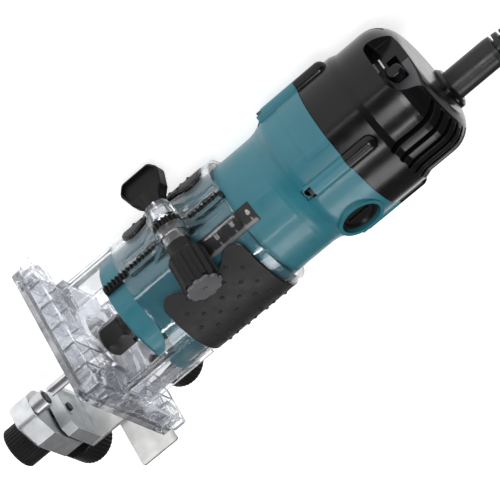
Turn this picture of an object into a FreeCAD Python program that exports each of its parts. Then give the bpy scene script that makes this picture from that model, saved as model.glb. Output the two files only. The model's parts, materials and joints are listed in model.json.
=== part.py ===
import FreeCAD, Part
import math
import os

# Trim router with a clear base and a trimmer guide, lying on its left side.
# Everything is drawn in the tool's upright frame: spindle along Z, the sole's face at z = 0,
# the cord end up, the clamp and switch at the front (-Y) and the brush caps at +X and -X.
# write_parts() turns every piece onto its side: row X = -z, row Y = y, row Z = x + half sole.

# ---- driving dimensions, mm ----
SOLE_SIDE = 89.0
SOLE_Y = -2.4
SOLE_TOP = 13.2
SOLE_STEP = 6.4
SOLE_PLATE_T = 3.2
SOLE_INSET = 1.5
SOLE_SCREW_REACH = 36.0
SOLE_HOLE_R = 17.0

BODY_R = 34.1
BORE_R = 34.4
SLEEVE_R = 37.5
SLEEVE_TOP = 116.8
WINDOW_TOP = 49.0
WINDOW_HALF = 34.6
SPLIT_X0 = -5.0
SPLIT_X1 = 0.3

CLAMP_Y = -45.0
CLAMP_Z = 86.8
EAR_R = 8.5
BOLT_R = 3.0
BOLT_HEAD_AF = 7.2

GEAR_MODULE = 0.8
GEAR_TEETH = 18
RACK_Z0 = 37.0
RACK_PITCHES = 32
RACK_X0 = -4.4
RACK_X1 = -0.4

GRIP_R = 38.9
GRIP_Z0 = 57.4
GRIP_Z1 = 110.2

HOUSING_Z0 = 35.8
FLARE_Z0 = 140.0
FLARE_Z1 = 153.0
HEAD_R = 39.3
SEAM_Z = 178.0
STATOR_R = 30.8
BOSS_R = 4.5
BOSS_REACH = 38.6
BOSS_ANGLES = (42.0, 138.0, 222.0, 318.0)
BOSS_Z0 = 152.8
BOSS_Z1 = 197.0
BRUSH_Z = 162.4
BRUSH_CAP_R = 10.8
BRUSH_CAP_X = 37.6
BRUSH_RING_X = 39.7

COVER_RING_R = 39.2
COVER_R = 37.9
COVER_STEP_Z0 = 198.5
COVER_STEP_Z1 = 202.5
COVER_TOP = 233.0
COVER_SHOULDER = 15.0
COVER_WALL = 3.0
VENT_PITCH = 6.75
VENT_W = 2.9
GUARD_Y = 23.0
GUARD_R = 8.3
GUARD_TAPER_Z = 262.0
GUARD_END = 291.0
CORD_R = 3.5

SPINDLE_R = 6.0
BIT_R = 3.0
BIT_TIP = -30.0
NUT_AF = 17.0

ARM_Y = 44.1
ARM_T = 2.5
ARM_HALF = 15.6
CLAMP_A_Z = 20.0
GUIDE_KNOB_R = 13.5
ADJUST_Z = -48.5
BRACKET_Z0 = -41.5
BRACKET_Z1 = -34.0
HOLDER_Z0 = -55.5
HOLDER_Z1 = -42.6
CLAMP_B_Y = 24.0
ROLLER_Y = 2.0
ROLLER_R = 5.0
ROLLER_SEAL_R = 4.1

CLAMP_B_Z0 = -71.9
DEPTH_KNOB_R = 10.25
ADJUST_KNOB_Y1 = 67.5

# Row position of the upright frame's origin, so that the row's origin is the middle of the
# underside of the router without its cord: half way between the guard's end and clamp knob B,
# and half way between the depth knob's front and the adjusting knob's back.
ROW_X = (GUARD_END + CLAMP_B_Z0) / 2
ROW_Y = -(CLAMP_Y - DEPTH_KNOB_R + ADJUST_KNOB_Y1) / 2
ROW_Z = SOLE_SIDE / 2

COIL_AT = (-290.0, 55.0)
COIL_TURN_R = 49.0
COIL_R_IN = 31.4
COIL_R_OUT = 52.6
COIL_HEIGHT = 21.2
CORD_LIFT = CORD_R + 0.1
COIL_EXIT_Z = 17.7
PLUG_START = (-230.0, 105.6, 13.0)
PLUG_NECK = 24.0
PLUG_BODY = 34.0

UP = FreeCAD.Vector(0, 0, 1)
ALONG_X = FreeCAD.Vector(1, 0, 0)
ALONG_Y = FreeCAD.Vector(0, 1, 0)
ORIGIN = FreeCAD.Vector(0, 0, 0)


# ---- drawing helpers ----
def at(x, y, z):
    return FreeCAD.Vector(x, y, z)


def box(x0, x1, y0, y1, z0, z1):
    return Part.makeBox(x1 - x0, y1 - y0, z1 - z0, at(x0, y0, z0))


def rod(r, start, end):
    way = end.sub(start)
    return Part.makeCylinder(r, way.Length, start, way)


def cone(r0, r1, start, end):
    way = end.sub(start)
    return Part.makeCone(r0, r1, way.Length, start, way)


def post(r, z0, z1, x=0.0, y=0.0):
    return rod(r, at(x, y, z0), at(x, y, z1))


def tube(r_in, r_out, z0, z1, x=0.0, y=0.0):
    return post(r_out, z0, z1, x, y).cut(post(r_in, z0 - 1, z1 + 1, x, y))


def fuse(shapes):
    shapes = list(shapes)
    joined = shapes[0].fuse(shapes[1:]) if len(shapes) > 1 else shapes[0]
    return joined.removeSplitter()


def turned(shape, degrees, axis=UP, centre=ORIGIN):
    copy = shape.copy()
    copy.rotate(centre, axis, degrees)
    return copy


def mirrored(shape):
    return shape.mirror(ORIGIN, ALONG_X)


def lathe(profile):
    """Solid of revolution about Z from a closed outline of (radius, height) corners."""
    corners = [at(r, 0, z) for r, z in profile]
    wire = Part.makePolygon(corners + corners[:1])
    return Part.Face(wire).revolve(ORIGIN, UP, 360)


def slab(corners, way):
    """A flat outline, as a list of vectors, pushed along a vector."""
    wire = Part.makePolygon(list(corners) + [corners[0]])
    return Part.Face(wire).extrude(way)


def round_edges(shape, radius, chosen):
    edges = [edge for edge in shape.Edges if chosen(edge)]
    return shape.makeFillet(radius, edges)


def runs_along(axis):
    """Picks straight edges parallel to an axis."""
    def chosen(edge):
        if not isinstance(edge.Curve, Part.Line):
            return False
        return abs(abs(edge.Curve.Direction.dot(axis)) - 1) < 1e-6
    return chosen


def block(x0, x1, y0, y1, z0, z1, radius, axis=UP):
    return round_edges(box(x0, x1, y0, y1, z0, z1), radius, runs_along(axis))


def flat_at(z):
    """Picks the edges that lie in the level z."""
    def chosen(edge):
        bound = edge.BoundBox
        return abs(bound.ZMin - z) < 1e-4 and abs(bound.ZMax - z) < 1e-4
    return chosen


def sector(r_in, r_out, a0, a1, z0, z1):
    """Part of a ring; angles in degrees from the front (-Y) towards +X."""
    outer = Part.makeCylinder(r_out, z1 - z0, at(0, 0, z0), UP, a1 - a0)
    return turned(outer.cut(post(r_in, z0 - 1, z1 + 1)), a0 - 90)


def hexagon(across_flats, start, end, twist=0.0):
    """Hexagonal bar between two points."""
    way = end.sub(start)
    side = ALONG_Y if abs(way.x) > 0 else ALONG_X
    corner = FreeCAD.Vector(side).multiply(across_flats / math.sqrt(3))
    ring = []
    for i in range(6):
        turn = FreeCAD.Rotation(way, 60 * i + twist)
        ring.append(start.add(turn.multVec(corner)))
    return slab(ring, way)


def knurled_knob(r, start, end, flutes, flute_r, rim=0.9):
    """Fluted round knob along the line from start to end, with softened rims."""
    knob = rod(r, start, end)
    knob = knob.makeChamfer(rim, [e for e in knob.Edges if isinstance(e.Curve, Part.Circle)])
    way = end.sub(start)
    side = ALONG_X if abs(way.x) < 1e-6 else UP
    cutters = []
    for i in range(flutes):
        turn = FreeCAD.Rotation(way, 360 * i / flutes)
        out = turn.multVec(FreeCAD.Vector(side).multiply(r + flute_r * 0.45))
        cutters.append(rod(flute_r, start.add(out).sub(way), end.add(out).add(way)))
    return knob.cut(cutters)


# ---- clear base ----
def sole_outline(inset, z0, z1, corner):
    half = SOLE_SIDE / 2 - inset
    return block(-half, half, SOLE_Y - half, SOLE_Y + half, z0, z1, corner)


def sole_corners():
    reach = SOLE_SCREW_REACH
    return [(sx * reach, SOLE_Y + sy * reach) for sx in (-1, 1) for sy in (-1, 1)]


def sole_block():
    """Ribbed sole with pockets open at the top, screw bosses and the middle hole."""
    upper = sole_outline(0, SOLE_STEP, SOLE_TOP, 4.0)
    lower = sole_outline(SOLE_INSET, SOLE_PLATE_T, SOLE_STEP, 4.0)
    block_shape = fuse([upper, lower])
    rim, rib, floor = 2.6, 1.5, 4.8
    inner = SOLE_SIDE / 2 - rim
    pockets = []
    cells = 6
    step = 2 * inner / cells
    for i in range(cells):
        for k in range(cells):
            x0 = -inner + i * step + rib / 2
            y0 = SOLE_Y - inner + k * step + rib / 2
            pockets.append(box(x0, x0 + step - rib, y0, y0 + step - rib, floor, SOLE_TOP + 1))
    keep = [post(24.0, 0, SOLE_TOP + 2)]
    keep.append(box(-38.5, 38.5, -15.5, 15.5, 0, SOLE_TOP + 2))
    keep.append(box(-13.5, 13.5, 24, 45, 0, SOLE_TOP + 2))
    keep += [post(5.2, 0, SOLE_TOP + 2, x, y) for x, y in sole_corners()]
    for pocket in pockets:
        block_shape = block_shape.cut(pocket.cut(keep))
    for side in (-1, 1):
        for i in range(5):
            x = -30 + 15 * i
            y = SOLE_Y + side * SOLE_SIDE / 2
            block_shape = block_shape.cut(box(x - 1.6, x + 1.6, y - 1.4, y + 1.4, 0, 10.5))
            y = SOLE_Y - 30 + 15 * i
            x = side * SOLE_SIDE / 2
            block_shape = block_shape.cut(box(x - 1.4, x + 1.4, y - 1.6, y + 1.6, 0, 10.5))
    return block_shape.cut(post(SOLE_HOLE_R + 1.5, 0, SOLE_TOP + 1))


def sleeve():
    """Split sleeve around the motor, open at the front and back above the sole."""
    ring = tube(BORE_R, SLEEVE_R, SOLE_TOP - 0.5, SLEEVE_TOP)
    band = tube(BORE_R, SLEEVE_R + 1.1, SLEEVE_TOP - 4.5, SLEEVE_TOP)
    ribs = []
    for angle in (70, 106, 250, 286):
        ribs.append(sector(BORE_R, SLEEVE_R + 1.9, angle, angle + 4, SOLE_TOP - 0.5, GRIP_Z0 - 2))
    window = box(-WINDOW_HALF, WINDOW_HALF, -60, 60, SOLE_TOP - 2, WINDOW_TOP)
    window = round_edges(window, 9.0, lambda e: runs_along(ALONG_Y)(e) and e.BoundBox.ZMin > 40)
    return fuse([ring, band] + ribs).cut(window)


def clamp_ears():
    """Bosses on both sides of the split that carry the clamp bolt and the pinion."""
    parts = []
    for x0, x1, step in ((-15.0, SPLIT_X0, -10.0), (SPLIT_X1, 10.0, 5.6)):
        centre = [at(x, CLAMP_Y, CLAMP_Z) for x in (x0, x1)]
        parts.append(rod(EAR_R - 1.4, centre[0], centre[1]))
        inner = (step, x1) if x0 < SPLIT_X0 - 1 else (x0, step)
        parts.append(rod(EAR_R, at(inner[0], CLAMP_Y, CLAMP_Z), at(inner[1], CLAMP_Y, CLAMP_Z)))
        web = [at(inner[0], y, z) for y, z in
               ((CLAMP_Y, 95.2), (-33, 107), (-33, 63), (CLAMP_Y, 78.4))]
        parts.append(slab(web, at(inner[1] - inner[0], 0, 0)))
    for x0 in (SPLIT_X0 - 2.6, SPLIT_X1):
        parts.append(box(x0, x0 + 2.6, -41.0, -33, 55, SLEEVE_TOP))
    return fuse(parts)


def guide_tower():
    """Post at the back that takes the guide's clamp screw."""
    tower = block(-13, 13, 34, 43.8, SOLE_TOP - 0.5, 33, 3.0, ALONG_Y)
    return tower.cut(rod(2.55, at(0, 33, CLAMP_A_Z), at(0, 45, CLAMP_A_Z)))


def base_body():
    pointer = sector(SLEEVE_R - 0.5, SLEEVE_R + 0.9, 8, 33, 103, SLEEVE_TOP)
    body = fuse([sole_block(), sleeve(), clamp_ears(), pointer])
    body = fuse([body, guide_tower().cut(post(SLEEVE_R + 0.5, 10, 40))])
    split = box(SPLIT_X0, SPLIT_X1, -60, -30, WINDOW_TOP - 12, SLEEVE_TOP + 1)
    bolt_hole = rod(BOLT_R + 0.06, at(-20, CLAMP_Y, CLAMP_Z), at(0, CLAMP_Y, CLAMP_Z))
    shaft_hole = rod(5.06, at(0, CLAMP_Y, CLAMP_Z), at(20, CLAMP_Y, CLAMP_Z))
    body = body.cut([split, bolt_hole, shaft_hole, post(BORE_R, SOLE_TOP, SLEEVE_TOP + 1)])
    for x, y in sole_corners():
        body = body.cut(post(1.95, 0, 11, x, y))
    return body


def sole_plate():
    plate = sole_outline(SOLE_INSET, 0, SOLE_PLATE_T, 4.0).cut(post(SOLE_HOLE_R, -1, 5))
    for x, y in sole_corners():
        plate = plate.cut([post(2.0, -1, 5, x, y), cone(4.0, 2.0, at(x, y, -0.01), at(x, y, 2.0))])
    return plate


def sole_screws():
    screws = []
    for x, y in sole_corners():
        head = cone(3.7, 1.9, at(x, y, 0.15), at(x, y, 1.95))
        slot = [box(x - 2, x + 2, y - 0.4, y + 0.4, 0, 0.9), box(x - 0.4, x + 0.4, y - 2, y + 2, 0, 0.9)]
        screws.append(fuse([head, post(1.9, 1.9, 10.5, x, y)]).cut(slot))
    return Part.makeCompound(screws)


def grip():
    """Rubber pad on the +X side: a ring sector whose two upright edges have lobes and a waist."""
    lobe_r, waist_r = 6.3, 23.1
    upper, lower, waist = (28.1, 103.9), (28.3, 63.9), (6.6, 83.6)
    pad = sector(SLEEVE_R, GRIP_R, 52, 128, GRIP_Z0, GRIP_Z1)
    edge_tilt = 48.0
    middle = SLEEVE_R * math.radians(edge_tilt)
    # Outline of the edge in (distance round the sleeve, height), from the top to the bottom.
    join = math.atan2(upper[1] - waist[1], upper[0] - waist[0])
    low_join = math.atan2(lower[1] - waist[1], lower[0] - waist[0])

    def on(centre, r, angle):
        return at(centre[0] + r * math.cos(angle) - middle, 0, centre[1] + r * math.sin(angle))

    right = 40.0 - middle
    top = on(upper, lobe_r, math.pi / 2)
    a = on(waist, waist_r, join)
    b = on(waist, waist_r, low_join)
    bottom = on(lower, lobe_r, -math.pi / 2)
    edges = [
        Part.Arc(top, on(upper, lobe_r, math.pi * 0.95), a).toShape(),
        Part.Arc(a, on(waist, waist_r, 0), b).toShape(),
        Part.Arc(b, on(lower, lobe_r, -math.pi * 0.95), bottom).toShape(),
        Part.LineSegment(bottom, at(right, 0, bottom.z)).toShape(),
        Part.LineSegment(at(right, 0, bottom.z), at(right, 0, top.z)).toShape(),
        Part.LineSegment(at(right, 0, top.z), top).toShape(),
    ]
    front = Part.Face(Part.Wire(edges)).extrude(at(0, -60, 0))
    front = turned(front, edge_tilt).common(tube(SLEEVE_R, GRIP_R, GRIP_Z0, GRIP_Z1))
    back = front.mirror(ORIGIN, ALONG_Y)
    return fuse([pad, front, back])


# ---- clamp screw and depth knob ----
def shield(half_outline, half_thickness):
    """Plate on the clamp's axis, symmetrical above and below it."""
    outline = [at(x, CLAMP_Y - half_thickness, CLAMP_Z + h) for x, h in half_outline]
    outline += [at(x, CLAMP_Y - half_thickness, CLAMP_Z - h) for x, h in reversed(half_outline)]
    return slab(outline, at(0, 2 * half_thickness, 0))


def wing_paddle():
    """Shield-shaped wing, hollowed on both faces, with a neck that holds the bolt head."""
    half = 4.4
    wing = shield([(-15.4, 4.6), (-18.4, 5.8), (-23.0, 9.7), (-32.5, 12.7), (-37.6, 8.9)], half)
    wing = round_edges(wing, 3.6, lambda e: runs_along(ALONG_Y)(e) and e.BoundBox.XMax < -32)
    wing = round_edges(wing, 1.4, lambda e: e.BoundBox.XMax < -18.3 and e.BoundBox.YLength < 0.01)
    neck = rod(5.2, at(-24.6, CLAMP_Y, CLAMP_Z), at(-15.4, CLAMP_Y, CLAMP_Z))
    hollow = shield([(-25.0, 8.4), (-27.2, 9.8), (-32.4, 11.2), (-36.2, 8.2)], half)
    front_hollow = hollow.copy()
    front_hollow.translate(at(0, 2.4 - 2 * half, 0))
    back_hollow = hollow.copy()
    back_hollow.translate(at(0, 2 * half - 2.4, 0))
    bolt_room = [hexagon(BOLT_HEAD_AF + 0.2, at(-23.8, CLAMP_Y, CLAMP_Z), at(-19.8, CLAMP_Y, CLAMP_Z)),
                 rod(BOLT_R + 0.05, at(-20, CLAMP_Y, CLAMP_Z), at(-15, CLAMP_Y, CLAMP_Z))]
    return fuse([wing, neck]).cut([front_hollow, back_hollow] + bolt_room)


def clamp_bolt():
    head = hexagon(BOLT_HEAD_AF, at(-23.6, CLAMP_Y, CLAMP_Z), at(-20.0, CLAMP_Y, CLAMP_Z))
    return fuse([head, rod(BOLT_R, at(-20.5, CLAMP_Y, CLAMP_Z), at(36.5, CLAMP_Y, CLAMP_Z))])


def gear_pinion():
    """Involute-like pinion with straight-sided teeth on a hollow shaft."""
    pitch_r = GEAR_MODULE * GEAR_TEETH / 2
    root_r = pitch_r - 1.1 * GEAR_MODULE
    tip_r = pitch_r + 0.9 * GEAR_MODULE
    half_tooth = math.pi * GEAR_MODULE / 4 - 0.08
    x0, x1 = SPLIT_X0 + 0.6, SPLIT_X1 - 0.5
    teeth = [rod(root_r, at(x0, 0, 0), at(x1, 0, 0))]
    profile = ((root_r - 0.4, half_tooth * 1.5), (pitch_r, half_tooth), (tip_r, half_tooth * 0.5))
    corners = [at(x0, -r, w) for r, w in profile] + [at(x0, -r, -w) for r, w in reversed(profile)]
    tooth = slab(corners, at(x1 - x0, 0, 0))
    for i in range(GEAR_TEETH):
        teeth.append(turned(tooth, 360 * (i + 0.5) / GEAR_TEETH, ALONG_X))
    teeth.append(rod(5.0, at(x1 - 0.5, 0, 0), at(16.0, 0, 0)))
    gear = fuse(teeth).cut(rod(BOLT_R + 0.06, at(-10, 0, 0), at(20, 0, 0)))
    gear.translate(at(0, CLAMP_Y, CLAMP_Z))
    return gear


def scalloped(r, x0, x1, rim):
    """Ten-lobed outline of the depth knob."""
    start, end = at(x0, CLAMP_Y, CLAMP_Z), at(x1, CLAMP_Y, CLAMP_Z)
    return knurled_knob(r, start, end, 10, 2.3, rim)


def depth_knob():
    collar = rod(7.0, at(10.3, CLAMP_Y, CLAMP_Z), at(19.0, CLAMP_Y, CLAMP_Z))
    knob = fuse([collar, scalloped(DEPTH_KNOB_R, 17.7, 38.0, 0.9)])
    hollow = [rod(5.0, at(10, CLAMP_Y, CLAMP_Z), at(16.0, CLAMP_Y, CLAMP_Z)),
              rod(BOLT_R + 0.06, at(10, CLAMP_Y, CLAMP_Z), at(31, CLAMP_Y, CLAMP_Z)),
              hexagon(10.0, at(31.0, CLAMP_Y, CLAMP_Z), at(38.5, CLAMP_Y, CLAMP_Z))]
    return knob.cut(hollow)


def knob_cap():
    cap = scalloped(9.7, 38.0, 39.8, 0.4)
    dot = rod(1.3, at(39.5, CLAMP_Y, CLAMP_Z), at(40.3, CLAMP_Y, CLAMP_Z))
    return fuse([cap, dot])


def clamp_nut():
    nut = hexagon(10.0, at(31.0, CLAMP_Y, CLAMP_Z), at(36.0, CLAMP_Y, CLAMP_Z))
    return nut.cut(rod(BOLT_R + 0.05, at(30, CLAMP_Y, CLAMP_Z), at(37, CLAMP_Y, CLAMP_Z)))


# ---- motor housing and what it carries ----
def rack_slot(grow):
    return box(RACK_X0 - grow, RACK_X1 + grow, -36, -32.2, RACK_Z0 - grow, rack_top() + grow)


def rack_top():
    return RACK_Z0 + RACK_PITCHES * math.pi * GEAR_MODULE


def rack():
    """Toothed strip let into the front of the housing, in mesh with the pinion."""
    pitch = math.pi * GEAR_MODULE
    pitch_y = CLAMP_Y + GEAR_MODULE * GEAR_TEETH / 2
    root_y = pitch_y + 1.1 * GEAR_MODULE
    tip_y = pitch_y - 0.9 * GEAR_MODULE
    strip = box(RACK_X0, RACK_X1, root_y - 0.01, -32.2, RACK_Z0, rack_top())
    # A rack tooth stands level with the clamp axis, between two teeth of the pinion.
    first = CLAMP_Z - math.floor((CLAMP_Z - RACK_Z0 - pitch / 2) / pitch) * pitch
    half = pitch / 4 - 0.08
    teeth = [strip]
    z = first
    while z + pitch / 2 <= rack_top():
        corners = [at(RACK_X0, root_y + 0.2, z - half * 1.5), at(RACK_X0, tip_y, z - half * 0.5),
                   at(RACK_X0, tip_y, z + half * 0.5), at(RACK_X0, root_y + 0.2, z + half * 1.5)]
        teeth.append(slab(corners, at(RACK_X1 - RACK_X0, 0, 0)))
        z += pitch
    return fuse(teeth)


def scale_plate():
    return sector(BODY_R - 0.7, BODY_R, 14.7, 34.1, 82.0, 125.4)


def screw_bosses(z0, z1):
    out = []
    for angle in BOSS_ANGLES:
        out.append(turned(post(BOSS_R, z0, z1, BOSS_REACH, 0), angle - 90))
    return out


def motor_housing():
    """Moulded shell: slim barrel, flared head, screw bosses, brush rings and a label panel."""
    profile = [(11.5, HOUSING_Z0), (BODY_R - 1.6, HOUSING_Z0), (BODY_R, HOUSING_Z0 + 1.6),
               (BODY_R, FLARE_Z0), (BODY_R + 0.5, FLARE_Z0 + 4), (BODY_R + 2.2, FLARE_Z0 + 8.5),
               (HEAD_R, FLARE_Z1), (HEAD_R, SEAM_Z), (HEAD_R - 3, SEAM_Z), (HEAD_R - 3, 154),
               (STATOR_R + 0.2, 141), (STATOR_R + 0.2, 50), (14.0, 50), (14.0, 40), (11.5, 40)]
    shell = lathe(profile)
    crease = [e for e in shell.Edges if e.BoundBox.ZMin > FLARE_Z0 + 3 and e.BoundBox.ZMax < FLARE_Z1 + 0.5]
    shell = shell.makeFillet(8.0, crease)
    rings = []
    for side in (-1, 1):
        rings.append(rod(13.0, at(side * 29.0, 0, BRUSH_Z), at(side * BRUSH_RING_X, 0, BRUSH_Z)))
    panel = sector(HEAD_R - 1, HEAD_R + 0.45, -36, 24, 163.5, SEAM_Z)
    head = fuse([shell, panel] + rings + screw_bosses(BOSS_Z0, SEAM_Z))
    cuts = [post(HEAD_R - 3, 172, SEAM_Z + 1), rack_slot(0.0),
            sector(BODY_R - 0.7, BODY_R + 2, 14.7, 34.1, 82.0, 125.4)]
    for side in (-1, 1):
        cuts.append(rod(BRUSH_CAP_R + 0.02, at(side * 28.5, 0, BRUSH_Z), at(side * 45, 0, BRUSH_Z)))
        for x in (18.0, -18.0):
            cuts.append(post(1.3, 41.0, 51.0, x, side * 9))
    for angle in BOSS_ANGLES:
        cuts.append(turned(post(3.6, 150, 157, BOSS_REACH, 0), angle - 90))
        cuts.append(turned(post(3.0, 150, 156.4, BOSS_REACH + 2.6, 0), angle - 90))
        cuts.append(turned(post(1.95, 150, SEAM_Z + 1, BOSS_REACH, 0), angle - 90))
    return head.cut(cuts)


def cover_screws():
    screws = []
    for angle in BOSS_ANGLES:
        screw = fuse([post(3.4, 154.2, 157, BOSS_REACH, 0), post(1.85, 156.9, 192, BOSS_REACH, 0)])
        cross = [box(BOSS_REACH - 2, BOSS_REACH + 2, -0.4, 0.4, 154, 155.3),
                 box(BOSS_REACH - 0.4, BOSS_REACH + 0.4, -2, 2, 154, 155.3)]
        screws.append(turned(screw.cut(cross), angle - 90))
    return Part.makeCompound(screws)


def cover_profile(inset):
    """Half outline of the rear cover, drawn inward by the wall thickness for its cavity."""
    centre_r = COVER_R - COVER_SHOULDER
    centre_z = COVER_TOP - COVER_SHOULDER
    bend = COVER_SHOULDER - inset
    points = [(0, SEAM_Z), (COVER_RING_R - inset, SEAM_Z), (COVER_RING_R - inset, COVER_STEP_Z0),
              (COVER_R - inset, COVER_STEP_Z1)]
    steps = 8
    for i in range(steps + 1):
        turn = math.radians(90 * i / steps)
        points.append((centre_r + bend * math.cos(turn), centre_z + bend * math.sin(turn)))
    return points + [(0, COVER_TOP - inset)]


def pocket_room(x0, x1, y1, z0, corner):
    """Room open to the front and the top, with a tight and a wide rounded lower corner."""
    room = box(x0, x1, -45, y1, z0, 240)
    low = [e for e in room.Edges if runs_along(ALONG_Y)(e) and e.BoundBox.ZMax < z0 + 1]
    room = room.makeFillet(corner, [e for e in low if e.BoundBox.XMax < x0 + 1])
    low = [e for e in room.Edges if runs_along(ALONG_Y)(e) and e.BoundBox.ZMax < z0 + 1]
    return room.makeFillet(corner + 4, [e for e in low if e.BoundBox.XMin > x1 - 1])


def rear_cover():
    """Glossy cap with the switch pocket, side vents, cord boss and screw bosses."""
    shell = lathe(cover_profile(0.0))
    bosses = screw_bosses(SEAM_Z, BOSS_Z1 - BOSS_R)
    for angle in BOSS_ANGLES:
        dome = Part.makeSphere(BOSS_R, at(BOSS_REACH, 0, BOSS_Z1 - BOSS_R))
        bosses.append(turned(dome, angle - 90))
    boss = fuse([post(12.0, COVER_TOP - 8, 234.0, 0, GUARD_Y),
                 cone(12.0, 10.0, at(0, GUARD_Y, 234.0), at(0, GUARD_Y, 235.6))])
    cavity = lathe(cover_profile(COVER_WALL))
    pocket = pocket_room(-16.5, 18.0, -24.5, 217.5, 4.0)
    pocket_wall = pocket_room(-19.0, 20.5, -22.0, 214.8, 5.0)
    inside = cavity.cut(pocket_wall)
    cover = fuse([shell, boss] + bosses).cut([inside, pocket])
    cuts = [post(GUARD_R + 0.1, 200, 245, 0, GUARD_Y), post(GUARD_R + 1.8, 222, 229.6, 0, GUARD_Y),
            box(-6.2, 7.8, -24.6, -21.9, 221.4, 227.6)]
    for k in range(-3, 4):
        y = VENT_PITCH * k
        for side in (-1, 1):
            slot = box(18, 45, y - VENT_W / 2, y + VENT_W / 2, COVER_STEP_Z0 - 0.5, 229.5)
            slot = slot.cut(post(26.0, 190, 226))
            cuts.append(slot if side > 0 else mirrored(slot))
    for angle in BOSS_ANGLES:
        cuts.append(turned(post(1.9, SEAM_Z - 1, 193, BOSS_REACH, 0), angle - 90))
    return cover.cut(cuts)


def switch_slider():
    """Rounded tab in the pocket, on a stem that reaches the switch through the wall's slot."""
    tab = block(1.2, 8.0, -32.2, -25.4, 218.8, 227.8, 3.2, ALONG_Y)
    tab = round_edges(tab, 1.4, lambda e: e.BoundBox.YMax < -32.1)
    stem = box(2.6, 6.6, -26, -19.8, 222.2, 226.8)
    return fuse([tab, stem])


def switch_body():
    """Snap switch behind the pocket wall, with room for the slider's stem."""
    case = block(-14, 14, -21.6, -8, 214.5, 227.9, 1.5, ALONG_X)
    return case.cut(box(-8.8, 8.8, -25, -19.5, 221.6, 228.5))


def brush_holders():
    holders = []
    for side in (-1, 1):
        case = box(15, 28.4, -5.2, 5.2, BRUSH_Z - 7.6, BRUSH_Z + 7.6)
        case = case.cut(box(14, 30, -3.3, 3.3, BRUSH_Z - 5.6, BRUSH_Z + 5.6))
        holders.append(case if side > 0 else mirrored(case))
    return Part.makeCompound(holders)


def carbon_brushes():
    brush = box(11.4, 20.5, -3.2, 3.2, BRUSH_Z - 5.5, BRUSH_Z + 5.5)
    brush = brush.cut(post(11.4, BRUSH_Z - 8, BRUSH_Z + 8))
    return Part.makeCompound([brush, mirrored(brush)])


def brush_springs():
    """Each spring as the closed sleeve that its coil fills."""
    spring = rod(2.9, at(20.6, 0, BRUSH_Z), at(28.9, 0, BRUSH_Z))
    spring = spring.cut(rod(1.9, at(20, 0, BRUSH_Z), at(30, 0, BRUSH_Z)))
    return Part.makeCompound([spring, mirrored(spring)])


def brush_caps():
    """Slotted screw caps, each with a raised rim round a sunken face."""
    face = BRUSH_CAP_X - 1.5
    cap = rod(BRUSH_CAP_R, at(32.5, 0, BRUSH_Z), at(BRUSH_CAP_X, 0, BRUSH_Z))
    rim = [e for e in cap.Edges if isinstance(e.Curve, Part.Circle) and e.BoundBox.XMin > BRUSH_CAP_X - 1]
    cap = cap.makeChamfer(0.6, rim)
    top = at(BRUSH_CAP_X + 0.1, 0, BRUSH_Z)
    sunken = cone(BRUSH_CAP_R - 2.8, BRUSH_CAP_R - 1.9, at(face, 0, BRUSH_Z), top)
    slot = box(face - 1.6, BRUSH_CAP_X + 1, -1.1, 1.1, BRUSH_Z - 6.4, BRUSH_Z + 6.4)
    cap = fuse([cap, rod(10.0, at(29.0, 0, BRUSH_Z), at(33.0, 0, BRUSH_Z))]).cut([sunken, slot])
    return Part.makeCompound([cap, mirrored(cap)])


def end_bracket():
    """Inner carrier for the rear bearing, seated in the housing's head."""
    plate = post(HEAD_R - 3.1, 173.4, 175.5).cut(post(13.0, 170, 177))
    hub = tube(11.0, 14.0, 172.5, 184.0)
    cap = post(14.0, 183.0, 186.0)
    vents = []
    for i in range(6):
        vents.append(turned(block(18, 31, -6, 6, 170, 177, 3.0), 60 * i + 30))
    return fuse([plate, hub, cap]).cut(vents)


def bearing(outer_r, inner_r, z0, z1):
    ring = tube(inner_r, outer_r, z0, z1)
    wall = outer_r - inner_r
    return ring.cut(tube(inner_r + wall * 0.3, inner_r + wall * 0.72, z1 - 0.5, z1 + 1))


def bearing_retainer():
    plate = tube(9.5, 23.5, 50.0, 51.8)
    return plate.cut([post(1.3, 49, 53, x, y) for x in (-18, 18) for y in (-9, 9)])


def inner_screws():
    """Screws of the front bearing's retainer and of the cord clamp."""
    screws = []
    for x in (18.0, -18.0):
        for y in (-9.0, 9.0):
            screws.append(fuse([post(2.6, 51.8, 53.6, x, y), post(1.3, 41.0, 51.9, x, y)]))
    for x in (-9.5, 9.5):
        screws.append(fuse([post(2.6, 200.6, 202.4, x, GUARD_Y), post(1.3, 202.3, 214, x, GUARD_Y)]))
    return Part.makeCompound(screws)


def stator_core():
    return tube(18.8, STATOR_R, 90, 138)


def stator_coils():
    """Two saddle windings at the ends of the stator's poles."""
    coils = []
    for side in (-1, 1):
        for z0, z1 in ((82.0, 89.9), (138.1, 146.0)):
            arc = sector(20.5, 28.5, -55, 55, z0, z1)
            coils.append(arc if side > 0 else turned(arc, 180))
    return Part.makeCompound(coils)


# ---- spindle ----
def spindle_shaft():
    profile = [(0, 27.5), (5.6, 27.5), (5.6, 35.0), (SPINDLE_R - 0.03, 35.6), (SPINDLE_R - 0.03, 49.0),
               (5.0, 49.2), (5.0, 172.0), (3.97, 172.2), (3.97, 183.0), (0, 183.0)]
    return lathe(profile)


def armature_core():
    core = tube(5.0, 18.0, 92, 136)
    slots = []
    for i in range(12):
        slots.append(turned(block(13.5, 19, -0.9, 0.9, 90, 138, 0.5), 30 * i))
    return core.cut(slots)


def armature_windings():
    ends = []
    for z0, z1 in ((83.0, 92.0), (136.0, 146.5)):
        end = tube(5.0, 15.5, z0, z1)
        ends.append(end)
    return Part.makeCompound(ends)


def commutator():
    ring = tube(5.0, 11.2, 154.5, 170.5)
    flange = tube(5.0, 12.6, 151.5, 154.6)
    grooves = []
    for i in range(24):
        grooves.append(turned(box(10.6, 13, -0.25, 0.25, 154.7, 171), 15 * i))
    return fuse([ring, flange]).cut(grooves)


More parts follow.
